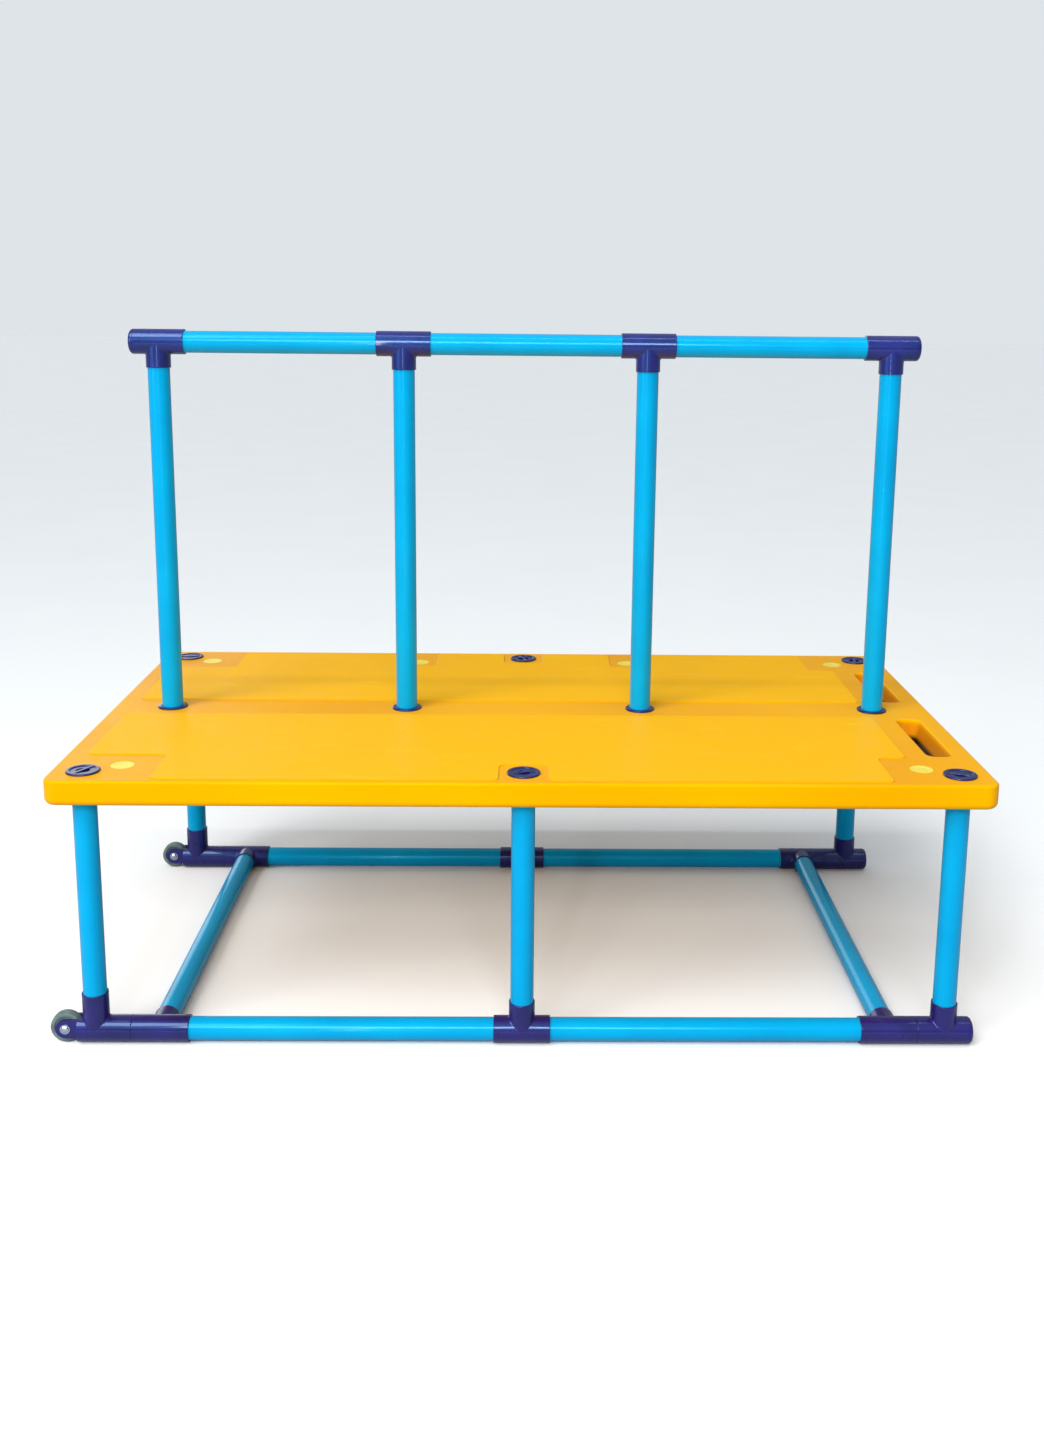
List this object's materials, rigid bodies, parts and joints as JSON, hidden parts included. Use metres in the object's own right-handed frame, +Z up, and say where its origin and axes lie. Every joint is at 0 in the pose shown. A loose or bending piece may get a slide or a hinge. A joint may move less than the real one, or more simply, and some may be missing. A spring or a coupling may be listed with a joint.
{
  "type": "swim teaching platform",
  "caption": "Submersible standing platform for swim lessons: moulded deck on pipe legs, a pipe base with transport wheels, and a lift-out guard rail.",
  "frame": {"origin": "on the pool floor, under the middle of the whole object's length and depth, wheels included", "axes": "+X along the deck towards the carrying-hole end, away from the wheels; +Y to the rear; +Z up"},
  "size_m": [2.028, 1.1, 1.5293],
  "materials": {
    "deck_yellow": "semi-gloss moulded polyethylene, fine anti-slip grain on the standing fields",
    "plug_yellow": "satin moulded plastic",
    "pipe_blue": "glossy extruded PVC",
    "fitting_navy": "glossy moulded plastic",
    "wheel_grey": "matt grey moulded plastic",
    "bush_white": "plain acetal",
    "stainless": "polished stainless steel"
  },
  "bodies": {
    "platform": {"axle_bolts": "stainless", "axle_nuts": "stainless", "axle_washers": "stainless", "base_end_plugs": "fitting_navy", "base_tube_front_left": "pipe_blue", "base_tube_front_right": "pipe_blue", "base_tube_rear_left": "pipe_blue", "base_tube_rear_right": "pipe_blue", "cross_tee_front_left": "fitting_navy", "cross_tee_front_right": "fitting_navy", "cross_tee_rear_left": "fitting_navy", "cross_tee_rear_right": "fitting_navy", "cross_tube_left": "pipe_blue", "cross_tube_right": "pipe_blue", "deck_panel": "deck_yellow", "deck_plugs": "plug_yellow", "end_tee_front": "fitting_navy", "end_tee_rear": "fitting_navy", "joining_nipples": "pipe_blue", "leg_front_left": "pipe_blue", "leg_front_middle": "pipe_blue", "leg_front_right": "pipe_blue", "leg_inserts": "fitting_navy", "leg_rear_left": "pipe_blue", "leg_rear_middle": "pipe_blue", "leg_rear_right": "pipe_blue", "middle_tee_front": "fitting_navy", "middle_tee_rear": "fitting_navy", "rail_socket_1": "fitting_navy", "rail_socket_2": "fitting_navy", "rail_socket_3": "fitting_navy", "rail_socket_4": "fitting_navy", "socket_lock_rings": "fitting_navy", "wheel_tee_front": "fitting_navy", "wheel_tee_rear": "fitting_navy"},
    "guard_rail": {"rail_end_plugs": "fitting_navy", "rail_post_1": "pipe_blue", "rail_post_2": "pipe_blue", "rail_post_3": "pipe_blue", "rail_post_4": "pipe_blue", "rail_tee_1": "fitting_navy", "rail_tee_2": "fitting_navy", "rail_tee_3": "fitting_navy", "rail_tee_4": "fitting_navy", "top_rail_left": "pipe_blue", "top_rail_middle": "pipe_blue", "top_rail_right": "pipe_blue"},
    "locking_cap_front_left": {"cap_front_left": "fitting_navy"},
    "locking_cap_front_middle": {"cap_front_middle": "fitting_navy"},
    "locking_cap_front_right": {"cap_front_right": "fitting_navy"},
    "locking_cap_rear_left": {"cap_rear_left": "fitting_navy"},
    "locking_cap_rear_middle": {"cap_rear_middle": "fitting_navy"},
    "locking_cap_rear_right": {"cap_rear_right": "fitting_navy"},
    "transport_wheel_front": {"wheel_front": "wheel_grey", "wheel_bush_front": "bush_white"},
    "transport_wheel_rear": {"wheel_rear": "wheel_grey", "wheel_bush_rear": "bush_white"}
  },
  "joints": [
    {"name": "guard_rail_lift", "type": "slide", "parent": "platform", "child": "guard_rail", "axis": [0, 0, 1], "range_m": [0, 0.1]},
    {"name": "cap_front_left_turn", "type": "hinge", "parent": "platform", "child": "locking_cap_front_left", "pos_m": [-0.9155, -0.485, 0.618], "axis": [0, 0, 1], "range_deg": [0, 90]},
    {"name": "cap_front_middle_turn", "type": "hinge", "parent": "platform", "child": "locking_cap_front_middle", "pos_m": [0.014, -0.485, 0.618], "axis": [0, 0, 1], "range_deg": [0, 90]},
    {"name": "cap_front_right_turn", "type": "hinge", "parent": "platform", "child": "locking_cap_front_right", "pos_m": [0.9435, -0.485, 0.618], "axis": [0, 0, 1], "range_deg": [0, 90]},
    {"name": "cap_rear_left_turn", "type": "hinge", "parent": "platform", "child": "locking_cap_rear_left", "pos_m": [-0.9155, 0.485, 0.618], "axis": [0, 0, 1], "range_deg": [0, 90]},
    {"name": "cap_rear_middle_turn", "type": "hinge", "parent": "platform", "child": "locking_cap_rear_middle", "pos_m": [0.014, 0.485, 0.618], "axis": [0, 0, 1], "range_deg": [0, 90]},
    {"name": "cap_rear_right_turn", "type": "hinge", "parent": "platform", "child": "locking_cap_rear_right", "pos_m": [0.9435, 0.485, 0.618], "axis": [0, 0, 1], "range_deg": [0, 90]},
    {"name": "wheel_front_spin", "type": "hinge", "parent": "platform", "child": "transport_wheel_front", "pos_m": [-0.98, -0.485, 0.035], "axis": [0, 1, 0], "continuous": true},
    {"name": "wheel_rear_spin", "type": "hinge", "parent": "platform", "child": "transport_wheel_rear", "pos_m": [-0.98, 0.485, 0.035], "axis": [0, 1, 0], "continuous": true}
  ]
}
